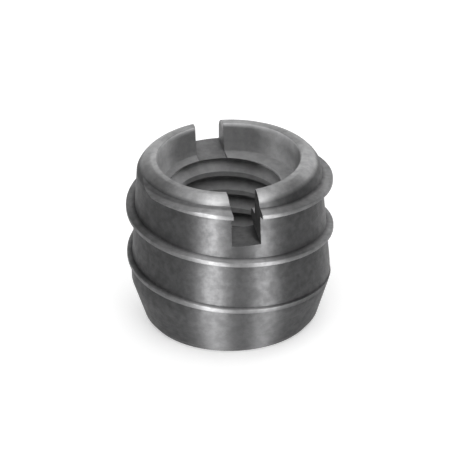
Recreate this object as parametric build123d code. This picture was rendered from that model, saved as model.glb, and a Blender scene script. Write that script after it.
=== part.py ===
"""Slotted screw-in sleeve for a joint connector bolt, turned in one piece.

The sleeve stands on its lower end with the driver slot up. A coarse thread cuts into the wood,
the bore takes the bolt, and the driver slot runs across the upper end along Y.
"""
import os
from math import ceil, radians, tan

from build123d import *

# Whole sleeve
length = 8.5
cut_overrun = 1.0

# Coarse outer thread, a narrow fin round a core that widens towards the lower end
thread_diameter = 10.0
thread_pitch = 2.55
thread_depth_upper = 0.56
thread_depth_lower = 0.20
crest_width = 0.22
flank_angle = 11
crest_overrun_share = 0.25
crest_drop_at_slot = 0.70
thread_is_left_handed = True

# Run-out of the thread at the upper end, where a nearly flat facing cut trims the fin at the shoulder
runout_drop = 0.39
runout_angle = 4

# Lower end, where the thread tapers off so that it starts easily in the wood
taper_width = 0.79
taper_height = 2.45
foot_chamfer_width = 0.27
foot_chamfer_height = 0.33

# Bore for the bolt
bore_diameter = 5.0
bore_foot_chamfer = 0.45

# Upper end, as shares of the wall between the bore and the core: recess, flat rim and shoulder.
# The crown is the sagitta of the shoulder's arc, which lies below a straight cone.
recess_depth = 1.45
recess_floor_share = 0.41
recess_mouth_share = 0.49
rim_share = 0.645
shoulder_drop = 0.58
shoulder_crown = 0.10

# Driver slot, sawn a little to one side of the axis and deeper at its near end, which faces -Y
slot_width = 1.4
slot_offset = -0.20
slot_depth_near = 2.45
slot_depth_far = 1.30
slot_near_angle = -90

# Worked out from the sizes above
thread_radius = thread_diameter / 2
core_top_radius = thread_radius - thread_depth_upper
core_foot_radius = thread_radius - thread_depth_lower
bore_radius = bore_diameter / 2
wall = core_top_radius - bore_radius
recess_floor_radius = bore_radius + wall * recess_floor_share
recess_mouth_radius = bore_radius + wall * recess_mouth_share
rim_radius = bore_radius + wall * rim_share
recess_floor_height = length - recess_depth
taper_end_radius = thread_radius - taper_width
taper_top_height = foot_chamfer_height + taper_height


def turned_core():
    """The sleeve without its thread and its lower end: rim, curved shoulder, core, recess and bore."""
    rim_edge = (rim_radius, length)
    shoulder_foot = (core_top_radius, length - shoulder_drop)
    chamfer_radius = bore_radius + bore_foot_chamfer
    section = Polyline(
        rim_edge,
        (recess_mouth_radius, length),
        (recess_floor_radius, recess_floor_height),
        (bore_radius, recess_floor_height),
        (bore_radius, bore_foot_chamfer),
        (chamfer_radius, 0),
        (chamfer_radius, -cut_overrun),
        (core_foot_radius, -cut_overrun),
        (core_foot_radius, taper_top_height),
        shoulder_foot,
    )
    shoulder = SagittaArc(shoulder_foot, rim_edge, shoulder_crown)
    return revolve(Plane.XZ * make_face([section, shoulder]), Axis.Z)


def thread_envelope():
    """What the fin may fill: a cylinder at the crests, with the facing cut on top."""
    cone_rise = thread_radius * tan(radians(runout_angle))
    outline = Polyline(
        (0, -thread_pitch),
        (thread_radius, -thread_pitch),
        (thread_radius, length - runout_drop),
        (0, length - runout_drop + cone_rise),
        close=True,
    )
    return revolve(Plane.XZ * make_face(outline), Axis.Z)


def foot_envelope():
    """What the lathe leaves at the lower end: a chamfered foot and the taper above it."""
    overrun_height = cut_overrun * taper_height / taper_width
    outline = Polyline(
        (0, 0),
        (taper_end_radius - foot_chamfer_width, 0),
        (taper_end_radius, foot_chamfer_height),
        (thread_radius + cut_overrun, taper_top_height + overrun_height),
        (thread_radius + cut_overrun, length + cut_overrun),
        (0, length + cut_overrun),
        close=True,
    )
    return revolve(Plane.XZ * make_face(outline), Axis.Z)


def fin_section():
    """Section of the fin in the XZ plane, from inside the core to just past the crest."""
    flank_lean = tan(radians(flank_angle))
    crest_half = crest_width / 2
    base_radius = (rim_radius + core_top_radius) / 2
    base_half = crest_half + (thread_radius - base_radius) * flank_lean
    tip_radius = thread_radius + crest_half * crest_overrun_share / flank_lean
    tip_half = crest_half - crest_half * crest_overrun_share
    return make_face(
        Polyline(
            (base_radius, -base_half),
            (tip_radius, -tip_half),
            (tip_radius, tip_half),
            (base_radius, base_half),
            close=True,
        )
    )


def add_thread(core):
    """Lays the fin round the core turn by turn, each turn trimmed to the thread's envelope."""
    path = Helix(thread_pitch, thread_pitch, thread_radius, lefthand=thread_is_left_handed)
    one_turn = Rot(0, 0, slot_near_angle) * sweep(Plane.XZ * fin_section(), path=path, is_frenet=True)
    first_turn = length - crest_drop_at_slot
    turns_below = ceil(first_turn / thread_pitch) + 1
    envelope = thread_envelope()
    for turn in range(turns_below + 1):
        core += Pos(0, 0, first_turn - turn * thread_pitch) * one_turn & envelope
    return core


def driver_slot():
    """The saw cut across the upper end, its floor falling towards the near end."""
    fall = (slot_depth_near - slot_depth_far) / thread_diameter * cut_overrun
    reach = thread_radius + cut_overrun
    side = Polyline(
        (-reach, length - slot_depth_near - fall),
        (reach, length - slot_depth_far + fall),
        (reach, length + cut_overrun),
        (-reach, length + cut_overrun),
        close=True,
    )
    return Pos(slot_offset, 0, 0) * extrude(Plane.YZ * make_face(side), amount=slot_width / 2, both=True)


threaded = add_thread(turned_core())
connector_sleeve = (threaded & foot_envelope()) - driver_slot()

os.makedirs("parts", exist_ok=True)
export_step(connector_sleeve, "parts/connector_sleeve.step")
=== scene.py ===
"""Looks of a slotted screw-in sleeve: its cut threads, its dull turned metal and a plain studio."""
from math import cos, pi, radians, sin, tan
from typing import NamedTuple

import bmesh
import bpy
from mathutils import Matrix, Vector


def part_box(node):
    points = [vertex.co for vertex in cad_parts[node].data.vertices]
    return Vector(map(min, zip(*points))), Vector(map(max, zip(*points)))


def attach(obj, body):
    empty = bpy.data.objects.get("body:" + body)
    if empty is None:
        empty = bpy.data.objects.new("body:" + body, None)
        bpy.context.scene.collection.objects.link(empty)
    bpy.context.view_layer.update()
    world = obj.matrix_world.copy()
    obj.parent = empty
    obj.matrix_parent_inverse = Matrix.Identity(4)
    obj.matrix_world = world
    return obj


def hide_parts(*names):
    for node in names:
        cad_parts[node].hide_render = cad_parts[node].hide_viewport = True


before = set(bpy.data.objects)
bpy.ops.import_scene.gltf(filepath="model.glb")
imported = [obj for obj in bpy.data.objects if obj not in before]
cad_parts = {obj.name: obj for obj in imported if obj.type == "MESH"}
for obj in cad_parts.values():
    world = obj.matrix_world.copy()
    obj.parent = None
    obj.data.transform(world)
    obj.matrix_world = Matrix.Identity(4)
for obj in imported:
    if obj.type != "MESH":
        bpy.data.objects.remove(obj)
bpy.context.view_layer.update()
sleeve_low, sleeve_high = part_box("connector_sleeve")

bl_info = {
    "name": "Slotted screw-in sleeve",
    "version": (1, 0, 0),
    "blender": (4, 5, 0),
    "location": "View3D > Sidebar > Sleeve",
    "description": "Builds a slotted screw-in sleeve with its two threads, and a small studio round it",
    "category": "Object",
}

MM = 0.001
PHOTO_PIXELS = 470

# Fineness of the mesh. The tools differ in their facets, so that their points don't fall together.
ROW_STEP = 0.3 * MM
EASE_STEPS = 4
SHOULDER_STEPS = 5
LIMIT_FACETS_FEWER = 7
FIN_FACETS_MORE = 11
GROOVE_FACETS_MORE = 7
HAIR = 0.002 * MM
SHARP_ANGLE = radians(32)

# The fin's limit lies this far outside the crest and inside the taper
LIMIT_MARGIN = 0.01 * MM
# The saw reaches this many times the sleeve's own size
SAW_REACH = 1.2
# The groove's section starts inside the bore, by this share of its depth
GROOVE_OVERLAP = 0.25

# Limits between the parts of the finish, among them the painted highlights on the rim and the fin and the
# painted shade and light in the slot: shares of the shoulder's drop, or millimetres
BAND_FADE = (0.66, 0.36)
FIN_FADE = (0.04, 0.20)
WALL_FADE = (0.01, 0.06)
LEDGE_FADE = (0.2, 0.1)
SLOT_MARGIN = 0.01
SLOT_FAR_FADE = (0.0, 1.0)

# Sockets of a colour mix, which share their names with others
MIX_PART, MIX_FIRST, MIX_SECOND, MIX_RESULT = 0, 6, 7, 2

# Camera and floor, in metres apart from the sensor's millimetres
SENSOR_WIDTH = 36
NEAREST, FARTHEST = 0.01, 10
FLOOR_REACH = 1.5


class Pattern(NamedTuple):
    """A noise on the metal, scaled to millimetres."""

    scale: float
    detail: float
    roughness: float


MOTTLE = Pattern(scale=2.6, detail=5.0, roughness=0.62)
MOTTLE_SPOTS = (0.38, 0.62)
MOTTLE_WANDER = (0.3, 0.7)
GRAIN = Pattern(scale=16.0, detail=3.0, roughness=0.7)
RINGS = Pattern(scale=0.6, detail=3.0, roughness=0.6)
RING_SQUEEZE = 22.0


class Lamp(NamedTuple):
    """A soft lamp: angles in degrees, with the turn from the camera, lengths in metres, power in watts."""

    name: str
    turn: float
    rise: float
    reach: float
    width: float
    height: float
    power: float


LAMPS = (
    Lamp("overhead", turn=0, rise=80, reach=0.30, width=0.46, height=0.48, power=0.95),
    Lamp("front_left", turn=-19.5, rise=1.3, reach=0.30, width=0.105, height=0.016, power=1.40),
    Lamp("front_right", turn=37, rise=1.3, reach=0.30, width=0.07, height=0.016, power=0.85),
    Lamp("back", turn=162, rise=24, reach=0.40, width=0.56, height=0.28, power=0.55),
)


def distance(name, description, millimetres):
    return bpy.props.FloatProperty(
        name=name, description=description, default=millimetres * MM, unit="LENGTH", precision=5
    )


def angle(name, description, degrees):
    return bpy.props.FloatProperty(
        name=name, description=description, default=radians(degrees), subtype="ANGLE"
    )


def share(name, description, value):
    return bpy.props.FloatProperty(
        name=name, description=description, default=value, min=0.0, max=1.0, subtype="FACTOR"
    )


def colour(name, description, value):
    return bpy.props.FloatVectorProperty(
        name=name, description=description, default=value, size=3, min=0.0, max=1.0, subtype="COLOR"
    )


class SleeveSizes(bpy.types.PropertyGroup):
    """Colours and gloss of the dull turned metal, with its painted highlights and painted shade."""

    length: distance("Length", "Height of the sleeve", (sleeve_high[2] - sleeve_low[2]) / MM)
    crest_radius: distance("Crest radius", "Radius over the crests of the wood thread", 5.0)
    core_top_radius: distance("Core radius, top", "Radius of the core under the shoulder", 4.44)
    core_foot_radius: distance("Core radius, foot", "Radius of the core above the taper", 4.80)
    wood_pitch: distance("Wood thread pitch", "Rise of the wood thread in one turn", 2.55)
    fin_crest: distance("Fin crest", "Width of the land on the fin's crest", 0.22)
    fin_lean: angle("Fin lean", "Lean of each flank of the fin", 11)
    fin_drop: distance("Fin drop", "Depth of the fin's middle below the rim at the slot's near end", 0.70)
    fin_ease: distance("Fin easing", "Rounding of the fin's two edges", 0.05)
    runout_drop: distance("Run-out drop", "Depth below the rim at which the facing cut meets the crest", 0.39)
    runout_angle: angle("Run-out angle", "Slope of the facing cut that trims the fin at the shoulder", 4)
    taper_top: distance("Taper top", "Height at which the taper meets the crest", 2.78)
    taper_radius: distance("Taper radius", "Radius at the lower end of the taper", 4.21)
    foot_radius: distance("Foot radius", "Outer radius of the foot's flat ring", 3.94)
    foot_chamfer: distance("Foot chamfer", "Height of the foot's outer chamfer", 0.33)
    bore_radius: distance("Bore radius", "Radius over the crests of the bolt thread", 2.5)
    bore_chamfer: distance("Bore chamfer", "Chamfer of the bore at the foot", 0.45)
    recess_depth: distance("Recess depth", "Depth of the recess in the upper end", 1.45)
    recess_floor_radius: distance("Recess floor radius", "Radius of the recess at its floor", 3.295)
    recess_mouth_radius: distance("Recess mouth radius", "Radius of the recess at the rim", 3.45)
    rim_radius: distance("Rim radius", "Outer radius of the flat rim", 3.751)
    shoulder_drop: distance("Shoulder drop", "Fall of the shoulder from the rim to the core", 0.58)
    shoulder_crown: distance("Shoulder crown", "Bulge of the shoulder over a straight cone", 0.10)
    edge_ease: distance("Edge easing", "Rounding of the turned edges", 0.05)
    bolt_pitch: distance("Bolt thread pitch", "Rise of the bolt thread in one turn", 1.0)
    bolt_start: angle("Bolt thread start", "Angle from the X axis at which the bolt thread starts", 180)
    bolt_depth: distance("Bolt thread depth", "Depth of the bolt thread's groove", 0.5)
    bolt_mouth: distance("Bolt groove mouth", "Width of the bolt thread's groove at the bore", 0.75)
    bolt_floor: distance("Bolt groove floor", "Width of the bolt thread's groove at its floor", 0.14)
    slot_width: distance("Slot width", "Width of the driver slot", 1.4)
    slot_offset: distance("Slot offset", "Distance of the slot's middle from the axis", -0.20)
    slot_near: distance("Slot depth, near", "Depth of the driver slot at its near end", 2.45)
    slot_far: distance("Slot depth, far", "Depth of the driver slot at its far end", 1.30)
    facets: bpy.props.IntProperty(
        name="Facets", description="Straight steps in one turn of the sleeve", default=240, min=24, max=480
    )


class MetalFinish(bpy.types.PropertyGroup):
    """Colours and gloss of the dull turned metal."""

    root_metal: colour("Root metal", "Colour of the core between the fins", (0.122, 0.122, 0.124))
    # Painted highlight: a lighter colour on the rim and the upper shoulder, where they catch the light
    painted_highlight_metal: colour("Bright metal", "Colour of the rim and the shoulder", (0.360, 0.360, 0.363))
    # Painted shade: a darker colour in the slot, where shade falls
    slot_painted_shade_metal: colour("Slot metal", "Colour of the sawn slot", (0.100, 0.100, 0.101))
    # Painted light: a lighter colour at the slot's far end, which catches more light
    slot_far_painted_light_metal: colour("Slot metal, far", "Colour of the slot's sheen-painted far end", (0.210, 0.210, 0.212))
    inner_metal: colour("Inner metal", "Colour of the recess and the bore", (0.300, 0.300, 0.303))
    # Painted highlight: the share of the lighter colour that the fin takes, where it catches the light
    fin_painted_highlight: share("Fin painted sheen", "How far the sheen-painted fin takes the bright colour", 0.6)
    mottle_share: share("Mottling", "How much darker the mottled spots are", 0.18)
    dull_roughness: share("Roughness, dull", "Roughness of the core and its fin", 0.55)
    bright_roughness: share("Roughness, bright", "Roughness of the rim and the shoulder", 0.42)
    inner_roughness: share("Roughness, inside", "Roughness of the recess and the bore", 0.85)
    uneven_roughness: share("Roughness, uneven", "How far the roughness wanders to either side", 0.05)
    inner_metallic: share("Inner metallic", "How metallic the dull recess and bore are", 0.10)
    streak: share("Streak", "How far highlights stretch across the turning marks", 0.9)
    streak_turn: share("Streak turn", "Turn of the stretched highlights, as a share of a full turn", 0.25)
    mark_strength: share("Turning marks", "Strength of the fine rings that the tool left", 0.60)
    grain_strength: share("Grain", "Strength of the fine uneven grain", 0.12)
    relief: distance("Relief", "Depth of the turning marks and the grain", 0.02)


class StudioSettings(bpy.types.PropertyGroup):
    """Camera and colours of the plain studio."""

    floor: colour("Floor", "Colour of the plain floor", (0.90, 0.90, 0.90))
    floor_glow: share("Floor glow", "Light that the floor adds where it is seen", 0.35)
    room: colour("Room", "Colour of the light from all round", (0.20, 0.20, 0.20))
    turn: angle("Camera turn", "Angle of the camera from the slot's near end", -12.5)
    rise: angle("Camera rise", "Angle of the camera above the floor", 29.2)
    tilt: angle("Camera tilt", "Turn of the picture about its own middle", 1.0)
    camera_distance: distance("Camera distance", "Distance from the camera to the rim", 328)
    aim_right: distance("Aim right", "How far the picture's centre lies right of the rim's", 0.30)
    aim_down: distance("Aim down", "How far the picture's centre lies below the rim's", 3.75)
    pixels_per_mm: bpy.props.FloatProperty(
        name="Pixels per millimetre", description="Scale of the picture at the rim", default=20.82, min=1.0
    )


# Small helpers for node trees and sections


def add_node(tree, kind, inputs=None, **settings):
    """Adds a node, sets its own settings and fills or links its inputs by name or number."""
    node = tree.nodes.new(kind)
    for key, value in settings.items():
        setattr(node, key, value)
    for key, value in (inputs or {}).items():
        socket = node.inputs[key]
        if isinstance(value, bpy.types.NodeSocket):
            tree.links.new(value, socket)
        else:
            socket.default_value = value
    return node


def new_tree(name, sockets):
    """Makes a geometry tree with a geometry in and out and the named inputs."""
    tree = bpy.data.node_groups.new(name, "GeometryNodeTree")
    tree.interface.new_socket("Geometry", in_out="OUTPUT", socket_type="NodeSocketGeometry")
    tree.interface.new_socket("Geometry", in_out="INPUT", socket_type="NodeSocketGeometry")
    for socket_name, kind in sockets:
        tree.interface.new_socket(socket_name, in_out="INPUT", socket_type="NodeSocket" + kind)
    return tree, tree.nodes.new("NodeGroupInput").outputs


def close_tree(tree, geometry, material):
    """Ends a tree in plain geometry with its material."""
    real = add_node(tree, "GeometryNodeRealizeInstances", {"Geometry": geometry})
    painted = add_node(tree, "GeometryNodeSetMaterial", {"Geometry": real.outputs[0], "Material": material})
    add_node(tree, "NodeGroupOutput", {"Geometry": painted.outputs[0]})
    return tree


def use_tree(thing, tree, values):
    """Puts a tree on an object and sets its inputs by their identifiers."""
    modifier = thing.modifiers.new(tree.name, "NODES")
    modifier.node_group = tree
    for item in tree.interface.items_tree:
        if item.in_out == "INPUT" and item.name in values:
            modifier[item.identifier] = values[item.name]


def place(name, data):
    """Puts a mesh, a camera or a lamp into the scene as an object."""
    thing = bpy.data.objects.new(name, data)
    bpy.context.scene.collection.objects.link(thing)
    return thing


def eased(corners, ease):
    """Rounds the corners of a closed outline by a short curve, where a corner asks for it."""
    outline = []
    for index, (point, soft) in enumerate(corners):
        here = Vector(point)
        if not soft:
            outline.append(here)
            continue
        before = Vector(corners[index - 1][0]) - here
        after = Vector(corners[(index + 1) % len(corners)][0]) - here
        start = here + before.normalized() * min(ease, before.length / 2)
        end = here + after.normalized() * min(ease, after.length / 2)
        for step in range(EASE_STEPS + 1):
            part = step / EASE_STEPS
            outline.append(start.lerp(here, part).lerp(here.lerp(end, part), part))
    return outline


def unrounded(corners):
    """An outline whose corners all stay sharp."""
    return [Vector(point) for point in corners]


def stepped(outline):
    """Divides the long stretches of a closed outline, so that its rows stay close."""
    points = []
    for index, here in enumerate(outline):
        there = outline[(index + 1) % len(outline)]
        count = max(1, round((there - here).length / ROW_STEP))
        points += [here.lerp(there, step / count) for step in range(count)]
    return points


def section_object(name, outline, reference, outward):
    """Makes a closed outline of edges. Radius counts from the reference, and height runs down.

    Outward is 1 for a path that runs counterclockwise and -1 for one that runs clockwise.
    """
    points = [(outward * (point.x - reference), -point.y, 0.0) for point in outline[::-outward]]
    edges = [(index, (index + 1) % len(points)) for index in range(len(points))]
    mesh = bpy.data.meshes.new(name)
    mesh.from_pydata(points, edges, [])
    return place(name, mesh)


# Trees that turn a section into a ring or a thread


def turned_ring_tree():
    """Turns a section round the axis."""
    tree, given = new_tree(
        "Turned ring", [("Ring Radius", "Float"), ("Facets", "Int"), ("Metal", "Material")]
    )
    section = add_node(tree, "GeometryNodeMeshToCurve", {"Mesh": given["Geometry"]})
    circle = add_node(
        tree,
        "GeometryNodeCurvePrimitiveCircle",
        {"Resolution": given["Facets"], "Radius": given["Ring Radius"]},
    )
    upright = add_node(tree, "GeometryNodeSetCurveNormal", {"Curve": circle.outputs[0]}, mode="Z_UP")
    ring = add_node(
        tree,
        "GeometryNodeCurveToMesh",
        {"Curve": upright.outputs[0], "Profile Curve": section.outputs[0]},
    )
    return close_tree(tree, ring.outputs[0], given["Metal"])


def swept_thread_tree():
    """Sweeps a section along a helix of either hand, from a given angle and height."""
    tree, given = new_tree(
        "Swept thread",
        [
            ("Helix Radius", "Float"),
            ("Pitch", "Float"),
            ("Turns", "Float"),
            ("Facets", "Int"),
            ("Right Hand", "Bool"),
            ("Start Angle", "Float"),
            ("Start Height", "Float"),
            ("Metal", "Material"),
        ],
    )
    section = add_node(tree, "GeometryNodeMeshToCurve", {"Mesh": given["Geometry"]})
    height = add_node(tree, "ShaderNodeMath", {0: given["Pitch"], 1: given["Turns"]}, operation="MULTIPLY")
    helix = add_node(
        tree,
        "GeometryNodeCurveSpiral",
        {
            "Resolution": given["Facets"],
            "Rotations": given["Turns"],
            "Start Radius": given["Helix Radius"],
            "End Radius": given["Helix Radius"],
            "Height": height.outputs[0],
            "Reverse": given["Right Hand"],
        },
    )
    upright = add_node(tree, "GeometryNodeSetCurveNormal", {"Curve": helix.outputs[0]}, mode="Z_UP")
    swept = add_node(
        tree,
        "GeometryNodeCurveToMesh",
        {"Curve": upright.outputs[0], "Profile Curve": section.outputs[0], "Fill Caps": True},
    )
    shift = add_node(tree, "ShaderNodeCombineXYZ", {"Z": given["Start Height"]})
    turn = add_node(tree, "ShaderNodeCombineXYZ", {"Z": given["Start Angle"]})
    placed = add_node(
        tree,
        "GeometryNodeTransform",
        {"Geometry": swept.outputs[0], "Translation": shift.outputs[0], "Rotation": turn.outputs[0]},
    )
    return close_tree(tree, placed.outputs[0], given["Metal"])


def cut_sleeve_tree():
    """Trims the fin, joins it to the core, and then cuts the slot and the bolt thread."""
    tools = ["Fin", "Fin Limit", "Bolt Groove", "Slot Saw"]
    tree, given = new_tree("Cut sleeve", [(tool, "Object") for tool in tools] + [("Metal", "Material")])
    shape = {
        tool: add_node(tree, "GeometryNodeObjectInfo", {"Object": given[tool]}).outputs["Geometry"]
        for tool in tools
    }

    def boolean(operation, first, others):
        """Joins or cuts meshes, and marks the edges where they meet."""
        node = add_node(tree, "GeometryNodeMeshBoolean", operation=operation, solver="MANIFOLD")
        if operation == "DIFFERENCE":
            tree.links.new(first, node.inputs["Mesh 1"])
        else:
            others = [first] + others
        for other in others:
            tree.links.new(other, node.inputs["Mesh 2"])
        marked = add_node(
            tree,
            "GeometryNodeStoreNamedAttribute",
            {
                "Geometry": node.outputs["Mesh"],
                "Selection": node.outputs["Intersecting Edges"],
                "Name": "cut_edge",
                "Value": True,
            },
            data_type="BOOLEAN",
            domain="EDGE",
        )
        return marked.outputs[0]

    trimmed = boolean("INTERSECT", shape["Fin"], [shape["Fin Limit"]])
    threaded = boolean("UNION", given["Geometry"], [trimmed])
    cut = boolean("DIFFERENCE", threaded, [shape["Bolt Groove"], shape["Slot Saw"]])
    return close_tree(tree, cut, given["Metal"])


# Sections and tools of the sleeve


def taper_slope(sizes):
    """Growth of the radius for each step up the taper."""
    return (sizes.crest_radius - sizes.taper_radius) / (sizes.taper_top - sizes.foot_chamfer)


def slot_floor_line(sizes):
    """Height of the slot's floor at the axis, and its rise for each step towards the far end."""
    middle = sizes.length - (sizes.slot_near + sizes.slot_far) / 2
    rise = (sizes.slot_near - sizes.slot_far) / (2 * sizes.crest_radius)
    return middle, rise


def core_outline(sizes):
    """Section of the sleeve without its threads: rim, recess, bore, foot, taper, core and shoulder."""
    core_meets_taper = sizes.foot_chamfer + (sizes.core_foot_radius - sizes.taper_radius) / taper_slope(sizes)
    recess_floor = sizes.length - sizes.recess_depth
    rim_edge = Vector((sizes.rim_radius, sizes.length))
    shoulder_foot = Vector((sizes.core_top_radius, sizes.length - sizes.shoulder_drop))
    slope = (rim_edge - shoulder_foot).normalized()
    bulge = Vector((-slope.y, slope.x)) * -sizes.shoulder_crown
    shoulder = []
    for step in range(1, SHOULDER_STEPS):
        part = step / SHOULDER_STEPS
        shoulder.append(shoulder_foot.lerp(rim_edge, part) + bulge * 4 * part * (1 - part))
    corners = [
        (rim_edge, True),
        ((sizes.recess_mouth_radius, sizes.length), True),
        ((sizes.recess_floor_radius, recess_floor), True),
        ((sizes.bore_radius, recess_floor), True),
        ((sizes.bore_radius, sizes.bore_chamfer), False),
        ((sizes.bore_radius + sizes.bore_chamfer, 0.0), True),
        ((sizes.foot_radius, 0.0), True),
        ((sizes.taper_radius, sizes.foot_chamfer), True),
        ((sizes.core_foot_radius, core_meets_taper), False),
        ((sizes.core_foot_radius, sizes.taper_top), False),
        (shoulder_foot, True),
    ] + [(point, False) for point in shoulder]
    return stepped(eased(corners, sizes.edge_ease))


def fin_limit_outline(sizes):
    """Section of what the fin may fill: the crest's cylinder, the run-out above and the taper below."""
    inner = sizes.bore_radius / 2
    runout_rise = (sizes.crest_radius - inner) * tan(sizes.runout_angle)
    runout_height = sizes.length - sizes.runout_drop
    outer = sizes.crest_radius + LIMIT_MARGIN
    corners = [
        (inner, sizes.foot_chamfer),
        (sizes.taper_radius - LIMIT_MARGIN, sizes.foot_chamfer),
        (outer, sizes.taper_top + 2 * LIMIT_MARGIN / taper_slope(sizes)),
        (outer, runout_height),
        (inner, runout_height + runout_rise),
    ]
    return stepped(unrounded(corners))


def fin_outline(sizes):
    """Section of the fin about its own middle, from inside the core to the crest."""
    half = sizes.fin_crest / 2
    inner = (sizes.rim_radius + sizes.core_top_radius) / 2
    outer = sizes.crest_radius
    inner_half = half + (outer - inner) * tan(sizes.fin_lean)
    corners = [
        ((inner, -inner_half), False),
        ((outer, -half), True),
        ((outer, half), True),
        ((inner, inner_half), False),
    ]
    return eased(corners, sizes.fin_ease)


def bolt_groove_outline(sizes):
    """Section of the bolt thread's groove, from inside the bore to the groove's floor."""
    half_mouth = sizes.bolt_mouth / 2
    half_floor = sizes.bolt_floor / 2
    lean = (half_mouth - half_floor) / sizes.bolt_depth
    inner = sizes.bore_radius - sizes.bolt_depth * GROOVE_OVERLAP
    inner_half = half_mouth + (sizes.bore_radius - inner) * lean
    outer = sizes.bore_radius + sizes.bolt_depth
    corners = [(inner, -inner_half), (outer, -half_floor), (outer, half_floor), (inner, inner_half)]
    return unrounded(corners)


def slot_saw(sizes):
    """The block that the driver slot leaves empty, its floor falling towards the near end."""
    reach = sizes.crest_radius * SAW_REACH
    top = sizes.length * SAW_REACH
    middle, rise = slot_floor_line(sizes)
    side = [(-reach, middle - rise * reach), (reach, middle + rise * reach), (reach, top), (-reach, top)]
    half = sizes.slot_width / 2
    points = [(sizes.slot_offset + x, y, z) for x in (-half, half) for y, z in side]
    faces = [(0, 3, 2, 1), (4, 5, 6, 7)]
    faces += [(i, (i + 1) % 4, (i + 1) % 4 + 4, i + 4) for i in range(4)]
    mesh = bpy.data.meshes.new("slot_saw")
    mesh.from_pydata(points, [], faces)
    return place("slot_saw", mesh)


def fin_inputs(sizes, metal):
    """The fin as a left-hand thread, which passes its own drop at the slot's near end."""
    turns_below = int(sizes.length / sizes.wood_pitch) + 1
    return {
        "Helix Radius": sizes.crest_radius,
        "Pitch": sizes.wood_pitch,
        "Turns": turns_below + 1.0,
        "Facets": sizes.facets + FIN_FACETS_MORE,
        "Right Hand": False,
        "Start Angle": -pi / 2,
        "Start Height": sizes.length - sizes.fin_drop - turns_below * sizes.wood_pitch,
        "Metal": metal,
    }


def bolt_groove_inputs(sizes, metal):
    """The groove as a right-hand thread, from below the foot to above the recess floor."""
    return {
        "Helix Radius": sizes.bore_radius,
        "Pitch": sizes.bolt_pitch,
        "Turns": int(sizes.length / sizes.bolt_pitch) + 1.0,
        "Facets": sizes.facets // 2 + GROOVE_FACETS_MORE,
        "Right Hand": True,
        "Start Angle": sizes.bolt_start,
        "Start Height": -sizes.bolt_pitch,
        "Metal": metal,
    }


def clear_slivers(mesh):
    """Merges points that the cuts left a hair apart, and drops faces that fold back on themselves."""
    work = bmesh.new()
    work.from_mesh(mesh)
    bmesh.ops.remove_doubles(work, verts=work.verts, dist=HAIR)
    bmesh.ops.triangulate(work, faces=work.faces, ngon_method="BEAUTY")
    same_corners = {}
    for face in work.faces:
        same_corners.setdefault(frozenset(face.verts), []).append(face)
    folded = [face for faces in same_corners.values() if len(faces) > 1 for face in faces]
    bmesh.ops.delete(work, geom=folded, context="FACES")
    work.to_mesh(mesh)
    work.free()


def keep_cuts_sharp(mesh):
    """Keeps the edges that a cut or a joint made as sharp as the tool left them."""
    cuts = [edge.index for edge, mark in zip(mesh.edges, mesh.attributes["cut_edge"].data) if mark.value]
    sharp = mesh.attributes["sharp_edge"].data
    for index in cuts:
        sharp[index].value = True
    mesh.attributes.remove(mesh.attributes["cut_edge"])


# Finish, with painted highlights and painted shade


class MetalTree:
    """The nodes of the metal by short words. Lengths in it are millimetres."""

    def __init__(self, tree):
        self.tree = tree
        on_sleeve = self.add("TexCoord").outputs["Object"]
        self.point = self.add("VectorMath", {0: on_sleeve, "Scale": 1 / MM}, operation="SCALE").outputs[0]
        self.x, self.y, self.z = self.add("SeparateXYZ", {0: self.point}).outputs
        from_axis = self.join(self.x, self.y)
        self.radius = self.add("VectorMath", {0: from_axis}, operation="LENGTH").outputs["Value"]

    def add(self, kind, inputs=None, **settings):
        return add_node(self.tree, "ShaderNode" + kind, inputs, **settings)

    def join(self, x, y, z=0.0):
        return self.add("CombineXYZ", {"X": x, "Y": y, "Z": z}).outputs[0]

    def math(self, operation, first, second=0.0):
        return self.add("Math", {0: first, 1: second}, operation=operation).outputs[0]

    def ramp(self, value, start, end, low=0.0, high=1.0):
        limits = {"Value": value, "From Min": start, "From Max": end, "To Min": low, "To Max": high}
        return self.add("MapRange", limits).outputs[0]

    def noise(self, point, pattern):
        look = {"Scale": pattern.scale, "Detail": pattern.detail, "Roughness": pattern.roughness}
        return self.add("TexNoise", {"Vector": point, **look}).outputs["Fac"]

    def blend(self, part, first, second):
        """Mixes two colours, each given as a socket or as three numbers."""
        paints = [
            paint if isinstance(paint, bpy.types.NodeSocket) else (*paint, 1.0)
            for paint in (first, second)
        ]
        given = {MIX_PART: part, MIX_FIRST: paints[0], MIX_SECOND: paints[1]}
        return self.add("Mix", given, data_type="RGBA").outputs[MIX_RESULT]


def fin_highlight_mask(nodes, sizes):
    """1 on the fin, 0 on the core: where the fin's painted highlight goes."""
    shoulder_foot = (sizes.length - sizes.shoulder_drop) / MM
    foot_radius = sizes.core_foot_radius / MM
    top_radius = sizes.core_top_radius / MM
    core = nodes.ramp(nodes.z, sizes.taper_top / MM, shoulder_foot, foot_radius, top_radius)
    return nodes.ramp(nodes.math("SUBTRACT", nodes.radius, core), *FIN_FADE)


def outside_mask(nodes, sizes):
    """0 in the recess and the bore, 1 further out."""
    recess_floor = (sizes.length - sizes.recess_depth) / MM
    floor_radius = sizes.recess_floor_radius / MM
    mouth_radius = sizes.recess_mouth_radius / MM
    wall = nodes.ramp(nodes.z, recess_floor, sizes.length / MM, floor_radius, mouth_radius)
    step_in = (sizes.bore_radius + sizes.bolt_depth - sizes.recess_floor_radius) / MM
    below, above = (recess_floor - drop for drop in LEDGE_FADE)
    hollow = nodes.math("ADD", wall, nodes.ramp(nodes.z, below, above, step_in, 0.0))
    return nodes.ramp(nodes.math("SUBTRACT", nodes.radius, hollow), *WALL_FADE)


def band_mask(nodes, sizes, outside):
    """1 on the rim and the upper part of the shoulder, 0 elsewhere: where the painted highlight and the
    smoother finish go.
    """
    low, high = ((sizes.length - sizes.shoulder_drop * part) / MM for part in BAND_FADE)
    return nodes.math("MULTIPLY", nodes.ramp(nodes.z, low, high), outside)


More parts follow.
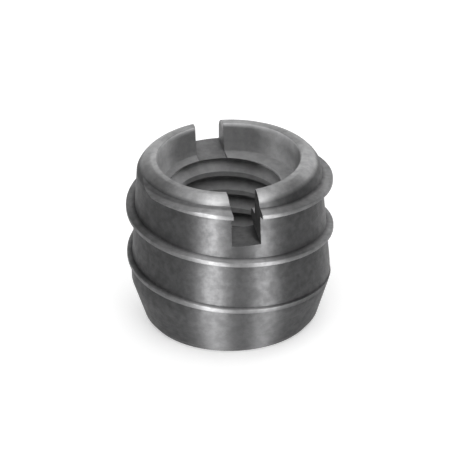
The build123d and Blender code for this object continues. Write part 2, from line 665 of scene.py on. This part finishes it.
def slot_mask(nodes, sizes):
    """1 on the walls and the floor of the driver slot, 0 elsewhere: where the slot's painted shade and
    painted light go.
    """
    from_middle = nodes.math("ABSOLUTE", nodes.math("SUBTRACT", nodes.x, sizes.slot_offset / MM))
    in_width = nodes.math("LESS_THAN", from_middle, sizes.slot_width / 2 / MM + SLOT_MARGIN)
    middle, rise = slot_floor_line(sizes)
    floor = nodes.math("ADD", nodes.math("MULTIPLY", nodes.y, rise), middle / MM - SLOT_MARGIN)
    return nodes.math("MULTIPLY", in_width, nodes.math("GREATER_THAN", nodes.z, floor))


def dull_turned_metal(finish, sizes):
    """Grey turned metal: a painted highlight on rim and fin, painted shade and light in the slot, dull in the
    roots, with rings, mottling and grain.
    """
    material = bpy.data.materials.new("dull_turned_metal")
    material.use_nodes = True
    nodes = MetalTree(material.node_tree)
    shader = material.node_tree.nodes["Principled BSDF"].inputs

    outside = outside_mask(nodes, sizes)
    on_band = band_mask(nodes, sizes, outside)
    in_slot = slot_mask(nodes, sizes)
    hollow = nodes.math("SUBTRACT", 1.0, outside)
    inside = nodes.math("MULTIPLY", hollow, nodes.math("SUBTRACT", 1.0, in_slot))
    # Share of the painted highlight: part of it on the fin, all of it on the rim's band
    bright = nodes.math("MAXIMUM", nodes.math("MULTIPLY", fin_highlight_mask(nodes, sizes), finish.fin_painted_highlight), on_band)

    mottle = nodes.noise(nodes.point, MOTTLE)
    grain = nodes.noise(nodes.point, GRAIN)
    along = nodes.math("MULTIPLY", nodes.math("ADD", nodes.z, nodes.radius), RING_SQUEEZE)
    rings = nodes.noise(nodes.join(nodes.x, nodes.y, along), RINGS)

    # Painted shade in the slot, fading to painted light at its far end
    slot_painted_shading = nodes.blend(nodes.ramp(nodes.y, *SLOT_FAR_FADE), finish.slot_painted_shade_metal, finish.slot_far_painted_light_metal)
    # Painted highlight on the rim, the upper shoulder and the fin
    turned = nodes.blend(bright, finish.root_metal, finish.painted_highlight_metal)
    turned = nodes.blend(inside, nodes.blend(in_slot, turned, slot_painted_shading), finish.inner_metal)
    spots = nodes.ramp(mottle, *MOTTLE_SPOTS, 1.0 - finish.mottle_share, 1.0)
    spotted = nodes.add("VectorMath", {0: turned, "Scale": spots}, operation="SCALE").outputs[0]
    nodes.tree.links.new(spotted, shader["Base Color"])

    wander = nodes.ramp(mottle, *MOTTLE_WANDER, finish.uneven_roughness, -finish.uneven_roughness)
    roughness = nodes.ramp(on_band, 0.0, 1.0, finish.dull_roughness, finish.bright_roughness)
    roughness = nodes.math("ADD", roughness, wander)
    roughness = nodes.math("MAXIMUM", roughness, nodes.math("MULTIPLY", inside, finish.inner_roughness))
    nodes.tree.links.new(roughness, shader["Roughness"])
    nodes.tree.links.new(nodes.ramp(inside, 0.0, 1.0, 1.0, finish.inner_metallic), shader["Metallic"])

    shader["Anisotropic"].default_value = finish.streak
    shader["Anisotropic Rotation"].default_value = finish.streak_turn
    around = nodes.join(nodes.math("MULTIPLY", nodes.y, -1.0), nodes.x)
    along_turn = nodes.add("VectorMath", {0: around}, operation="NORMALIZE").outputs[0]
    nodes.tree.links.new(along_turn, shader["Tangent"])

    ring_relief = {"Height": rings, "Strength": finish.mark_strength, "Distance": finish.relief}
    ringed = nodes.add("Bump", ring_relief).outputs[0]
    grain_relief = {"Height": grain, "Strength": finish.grain_strength, "Distance": finish.relief}
    grained = nodes.add("Bump", {**grain_relief, "Normal": ringed}).outputs[0]
    nodes.tree.links.new(grained, shader["Normal"])
    return material


def pale_floor(studio):
    """A plain pale floor that shows white to the camera and in the metal, and keeps the shadow."""
    material = bpy.data.materials.new("pale_floor")
    material.use_nodes = True
    tree = material.node_tree
    tree.nodes.clear()
    paint = add_node(tree, "ShaderNodeBsdfDiffuse", {"Color": (*studio.floor, 1.0)}).outputs[0]
    white = (1.0, 1.0, 1.0, 1.0)
    glow = add_node(tree, "ShaderNodeEmission", {"Color": white, "Strength": studio.floor_glow}).outputs[0]
    lit = add_node(tree, "ShaderNodeAddShader", {0: paint, 1: glow}).outputs[0]
    path = add_node(tree, "ShaderNodeLightPath").outputs
    seen = path["Is Camera Ray"]
    for ray in ("Is Glossy Ray", "Is Transmission Ray"):
        seen = add_node(tree, "ShaderNodeMath", {0: seen, 1: path[ray]}, operation="MAXIMUM").outputs[0]
    mixed = add_node(tree, "ShaderNodeMixShader", {0: seen, 1: paint, 2: lit}).outputs[0]
    add_node(tree, "ShaderNodeOutputMaterial", {"Surface": mixed})
    return material


# Studio


def direction(turn, rise):
    """Direction from the sleeve. Turn counts to the right from the slot's near end, rise from the floor."""
    return Vector((sin(turn) * cos(rise), -cos(turn) * cos(rise), sin(rise)))


def set_floor(studio):
    """Lays the floor under the sleeve."""
    mesh = bpy.data.meshes.new("floor")
    corners = [(-1, -1), (1, -1), (1, 1), (-1, 1)]
    mesh.from_pydata([(x * FLOOR_REACH, y * FLOOR_REACH, 0) for x, y in corners], [], [(0, 1, 2, 3)])
    mesh.materials.append(pale_floor(studio))
    place("floor", mesh)


def set_camera(studio, length):
    """Sets the camera at the photograph's angle and scale."""
    toward = direction(studio.turn, studio.rise)
    level = Vector((cos(studio.turn), sin(studio.turn), 0))
    upright = toward.cross(level)
    right = level * cos(studio.tilt) - upright * sin(studio.tilt)
    up = toward.cross(right)
    aim = Vector((0, 0, length)) + right * studio.aim_right - up * studio.aim_down
    data = bpy.data.cameras.new("camera")
    data.sensor_width = SENSOR_WIDTH
    pixels_per_metre = studio.pixels_per_mm / MM
    data.lens = pixels_per_metre * studio.camera_distance * SENSOR_WIDTH / PHOTO_PIXELS
    data.clip_start = NEAREST
    data.clip_end = FARTHEST
    camera = place("camera", data)
    turn = Matrix((right, up, toward)).transposed().to_4x4()
    camera.matrix_world = Matrix.Translation(aim + toward * studio.camera_distance) @ turn
    bpy.context.scene.camera = camera


def set_lamp(lamp, studio, target):
    """Sets a rectangular soft lamp that looks at the target."""
    toward = direction(studio.turn + radians(lamp.turn), radians(lamp.rise))
    data = bpy.data.lights.new(lamp.name, "AREA")
    data.shape = "RECTANGLE"
    data.size = lamp.width
    data.size_y = lamp.height
    data.energy = lamp.power
    thing = place(lamp.name, data)
    thing.location = target + toward * lamp.reach
    thing.rotation_euler = toward.to_track_quat("Z", "Y").to_euler()


def set_room(studio):
    """Gives the studio its even light from all round."""
    world = bpy.data.worlds.new("studio_room")
    bpy.context.scene.world = world
    world.use_nodes = True
    room = world.node_tree.nodes["Background"].inputs
    room["Color"].default_value = (*studio.room, 1.0)
    room["Strength"].default_value = 1.0


# Operators


class SLEEVE_OT_turn(bpy.types.Operator):
    """Turns the sleeve, cuts its two threads and its slot, and gives it its finish"""

    bl_idname = "sleeve.turn"
    bl_label = "Turn the sleeve"

    def execute(self, context):
        sizes = context.scene.sleeve_sizes
        metal = dull_turned_metal(context.scene.sleeve_finish, sizes)
        ring_tree = turned_ring_tree()
        thread_tree = swept_thread_tree()
        ring = {"Ring Radius": sizes.crest_radius, "Metal": metal}

        limit = section_object("fin_limit", fin_limit_outline(sizes), sizes.crest_radius, 1)
        use_tree(limit, ring_tree, {**ring, "Facets": sizes.facets - LIMIT_FACETS_FEWER})
        fin = section_object("fin", fin_outline(sizes), sizes.crest_radius, -1)
        use_tree(fin, thread_tree, fin_inputs(sizes, metal))
        groove = section_object("bolt_groove", bolt_groove_outline(sizes), sizes.bore_radius, 1)
        use_tree(groove, thread_tree, bolt_groove_inputs(sizes, metal))
        tools = {"Fin": fin, "Fin Limit": limit, "Bolt Groove": groove, "Slot Saw": slot_saw(sizes)}

        sleeve = section_object("turned_sleeve", core_outline(sizes), sizes.crest_radius, 1)
        use_tree(sleeve, ring_tree, {**ring, "Facets": sizes.facets})
        use_tree(sleeve, cut_sleeve_tree(), {**tools, "Metal": metal})
        made = sleeve.evaluated_get(context.evaluated_depsgraph_get())
        mesh = bpy.data.meshes.new_from_object(made)
        sleeve.modifiers.clear()
        sleeve.data = mesh
        for tool in tools.values():
            bpy.data.objects.remove(tool)
        if not mesh.polygons:
            raise RuntimeError("the sleeve came out empty")
        clear_slivers(mesh)
        mesh.shade_smooth()
        mesh.set_sharp_from_angle(angle=SHARP_ANGLE)
        keep_cuts_sharp(mesh)
        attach(sleeve, "root")
        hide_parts("connector_sleeve")
        return {"FINISHED"}


class SLEEVE_OT_studio(bpy.types.Operator):
    """Sets the floor, the soft lamps and the camera"""

    bl_idname = "sleeve.studio"
    bl_label = "Set the studio"

    def execute(self, context):
        studio = context.scene.sleeve_studio
        length = context.scene.sleeve_sizes.length
        context.scene.view_settings.view_transform = "Standard"
        set_floor(studio)
        set_camera(studio, length)
        for lamp in LAMPS:
            set_lamp(lamp, studio, Vector((0, 0, length / 2)))
        set_room(studio)
        return {"FINISHED"}


class SLEEVE_PT_panel(bpy.types.Panel):
    """Lists the steps of the making"""

    bl_idname = "SLEEVE_PT_panel"
    bl_label = "Sleeve"
    bl_space_type = "VIEW_3D"
    bl_region_type = "UI"
    bl_category = "Sleeve"

    def draw(self, context):
        for step in STEPS:
            self.layout.operator(step.bl_idname)


STEPS = (SLEEVE_OT_turn, SLEEVE_OT_studio)
GROUPS = {"sleeve_sizes": SleeveSizes, "sleeve_finish": MetalFinish, "sleeve_studio": StudioSettings}


def register():
    for group in GROUPS.values():
        bpy.utils.register_class(group)
    for step in STEPS:
        bpy.utils.register_class(step)
    bpy.utils.register_class(SLEEVE_PT_panel)
    for name, group in GROUPS.items():
        setattr(bpy.types.Scene, name, bpy.props.PointerProperty(type=group))


def unregister():
    for name in GROUPS:
        delattr(bpy.types.Scene, name)
    bpy.utils.unregister_class(SLEEVE_PT_panel)
    for step in reversed(STEPS):
        bpy.utils.unregister_class(step)
    for group in reversed(GROUPS.values()):
        bpy.utils.unregister_class(group)


def main():
    register()
    bpy.ops.sleeve.turn()
    bpy.ops.sleeve.studio()


if __name__ == "__main__":
    main()
